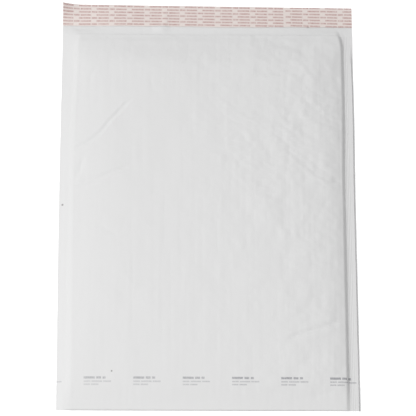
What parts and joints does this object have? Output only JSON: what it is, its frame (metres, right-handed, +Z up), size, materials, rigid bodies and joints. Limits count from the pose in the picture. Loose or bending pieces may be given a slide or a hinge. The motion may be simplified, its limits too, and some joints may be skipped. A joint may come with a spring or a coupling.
{
  "type": "padded envelope",
  "caption": "White padded mailing envelope lying flat: a bubble-lined paper pocket with sealed sides, an open mouth and a lip whose glue is covered by a peel-off liner.",
  "frame": {"origin": "on the surface that the envelope lies on, under the middle of its overall box", "axes": "+Z up, out of the front panel; +Y from the foot fold to the mouth and the lip; +X to the right with the front panel facing the viewer and the lip at the top"},
  "size_m": [0.362, 0.508, 0.014],
  "materials": {
    "white_paper": "matte",
    "bubble_film": "satin, translucent",
    "hot_melt": "tacky, satin",
    "liner_paper": "silicone coated, satin"
  },
  "bodies": {
    "root": {"outer_paper": "white_paper", "bubble_lining": "bubble_film", "adhesive_strip": "hot_melt", "release_liner": "liner_paper"}
  },
  "joints": []
}
